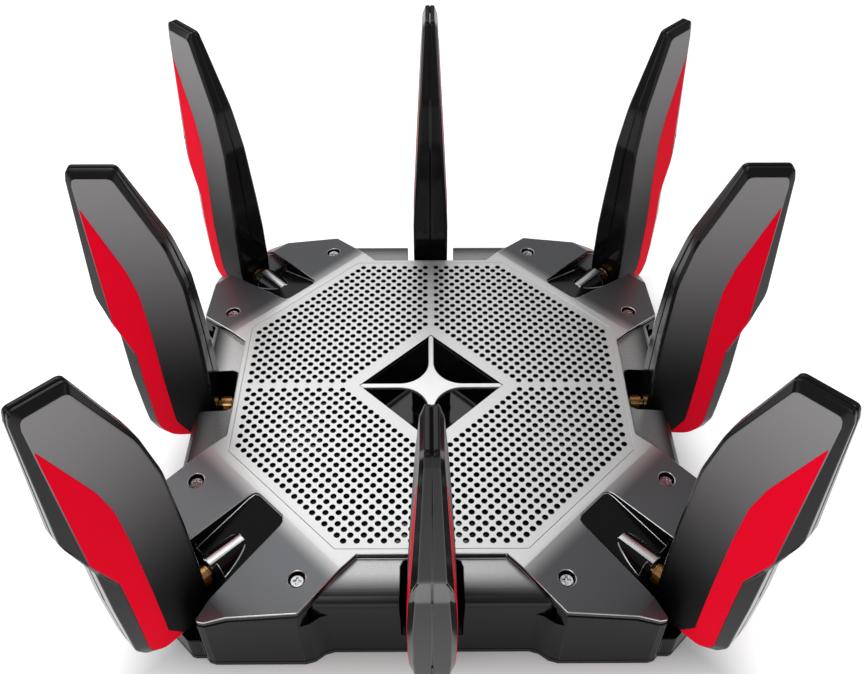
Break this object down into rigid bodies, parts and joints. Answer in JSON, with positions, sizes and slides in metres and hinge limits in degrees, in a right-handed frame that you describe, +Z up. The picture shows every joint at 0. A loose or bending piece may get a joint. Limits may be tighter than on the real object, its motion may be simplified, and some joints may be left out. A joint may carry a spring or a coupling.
{
  "type": "wireless router",
  "caption": "Desktop wireless router with a perforated silver top, a star badge over a glossy well, sloping wings and swivelling blade antennas on screw connectors.",
  "frame": {"origin": "on the table under the centre of the body, at the foot of the rubber feet", "axes": "+Z up, -Y to the front, +X to the right as seen from the front"},
  "size_m": [0.2932, 0.2932, 0.175],
  "materials": {
    "black_satin": "fine satin texture",
    "black_gloss": "high gloss moulding",
    "gunmetal": "satin metallic paint, lighter towards the middle",
    "satin_silver": "satin metallic paint over a perforated panel",
    "bright_silver": "brushed silver paint",
    "antenna_black": "satin faces with glossy edges",
    "signal_red": "satin red",
    "gold_brass": "gold plated",
    "steel": "plated",
    "aluminium": "extruded",
    "board_green": "solder mask",
    "rubber": "matte",
    "socket_black": "moulded",
    "socket_blue": "moulded",
    "lead_black": "jacket"
  },
  "bodies": {
    "root": {"base_plate": "black_satin", "main_housing": "black_gloss", "top_cover": "gunmetal", "grille_panel": "satin_silver", "star_badge": "bright_silver", "badge_well": "black_gloss", "light_board": "board_green", "rubber_feet": "rubber", "cover_screws": "steel", "base_screws": "steel", "main_board": "board_green", "heat_sink": "aluminium", "shield_cans": "steel", "lan_sockets": "socket_black", "wan_socket": "socket_blue", "usb_a_socket": "steel", "usb_c_socket": "steel", "dc_jack": "socket_black", "button_switches": "socket_black", "antenna_jacks": "gold_brass", "jack_hex_nuts": "gold_brass", "collar_nuts": "gold_brass", "coax_leads": "lead_black"},
    "front_antenna": {"front_antenna_shells": "antenna_black", "front_antenna_accents": "signal_red", "front_antenna_board": "board_green", "front_antenna_plug": "gold_brass"},
    "front_right_antenna": {"front_right_antenna_shells": "antenna_black", "front_right_antenna_accents": "signal_red", "front_right_antenna_board": "board_green", "front_right_antenna_plug": "gold_brass"},
    "right_antenna": {"right_antenna_shells": "antenna_black", "right_antenna_accents": "signal_red", "right_antenna_board": "board_green", "right_antenna_plug": "gold_brass"},
    "back_right_antenna": {"back_right_antenna_shells": "antenna_black", "back_right_antenna_accents": "signal_red", "back_right_antenna_board": "board_green", "back_right_antenna_plug": "gold_brass"},
    "back_antenna": {"back_antenna_shells": "antenna_black", "back_antenna_accents": "signal_red", "back_antenna_board": "board_green", "back_antenna_plug": "gold_brass"},
    "back_left_antenna": {"back_left_antenna_shells": "antenna_black", "back_left_antenna_accents": "signal_red", "back_left_antenna_board": "board_green", "back_left_antenna_plug": "gold_brass"},
    "left_antenna": {"left_antenna_shells": "antenna_black", "left_antenna_accents": "signal_red", "left_antenna_board": "board_green", "left_antenna_plug": "gold_brass"},
    "front_left_antenna": {"front_left_antenna_shells": "antenna_black", "front_left_antenna_accents": "signal_red", "front_left_antenna_board": "board_green", "front_left_antenna_plug": "gold_brass"},
    "power_button": {"power_button": "black_satin"},
    "wps_button": {"wps_button": "black_satin"},
    "wifi_button": {"wifi_button": "black_satin"},
    "led_button": {"led_button": "black_satin"},
    "reset_button": {"reset_button": "black_satin"}
  },
  "joints": [
    {"name": "front_swivel", "type": "hinge", "parent": "root", "child": "front_antenna", "pos_m": [0, -0.1043, 0.0345], "axis": [0, -1, 0], "range_deg": [-15, 15]},
    {"name": "front_right_swivel", "type": "hinge", "parent": "root", "child": "front_right_antenna", "pos_m": [0.099, -0.099, 0.0345], "axis": [0.7071, -0.7071, 0], "range_deg": [-25, 25]},
    {"name": "right_swivel", "type": "hinge", "parent": "root", "child": "right_antenna", "pos_m": [0.1043, 0, 0.0345], "axis": [1, 0, 0], "range_deg": [-15, 15]},
    {"name": "back_right_swivel", "type": "hinge", "parent": "root", "child": "back_right_antenna", "pos_m": [0.099, 0.099, 0.0345], "axis": [0.7071, 0.7071, 0], "range_deg": [-25, 25]},
    {"name": "back_swivel", "type": "hinge", "parent": "root", "child": "back_antenna", "pos_m": [0, 0.1043, 0.0345], "axis": [0, 1, 0], "range_deg": [-15, 15]},
    {"name": "back_left_swivel", "type": "hinge", "parent": "root", "child": "back_left_antenna", "pos_m": [-0.099, 0.099, 0.0345], "axis": [-0.7071, 0.7071, 0], "range_deg": [-25, 25]},
    {"name": "left_swivel", "type": "hinge", "parent": "root", "child": "left_antenna", "pos_m": [-0.1043, 0, 0.0345], "axis": [-1, 0, 0], "range_deg": [-15, 15]},
    {"name": "front_left_swivel", "type": "hinge", "parent": "root", "child": "front_left_antenna", "pos_m": [-0.099, -0.099, 0.0345], "axis": [-0.7071, -0.7071, 0], "range_deg": [-25, 25]},
    {"name": "power_button_press", "type": "slide", "parent": "root", "child": "power_button", "axis": [0, -1, 0], "range_m": [0, 0.002], "stiffness_N_per_m": 400, "springref_m": -0.001},
    {"name": "wps_button_press", "type": "slide", "parent": "root", "child": "wps_button", "axis": [1, 0, 0], "range_m": [0, 0.0008], "stiffness_N_per_m": 400, "springref_m": -0.001},
    {"name": "wifi_button_press", "type": "slide", "parent": "root", "child": "wifi_button", "axis": [1, 0, 0], "range_m": [0, 0.0008], "stiffness_N_per_m": 400, "springref_m": -0.001},
    {"name": "led_button_press", "type": "slide", "parent": "root", "child": "led_button", "axis": [1, 0, 0], "range_m": [0, 0.0008], "stiffness_N_per_m": 400, "springref_m": -0.001},
    {"name": "reset_button_press", "type": "slide", "parent": "root", "child": "reset_button", "axis": [0, -1, 0], "range_m": [0, 0.0005], "stiffness_N_per_m": 400, "springref_m": -0.001}
  ]
}
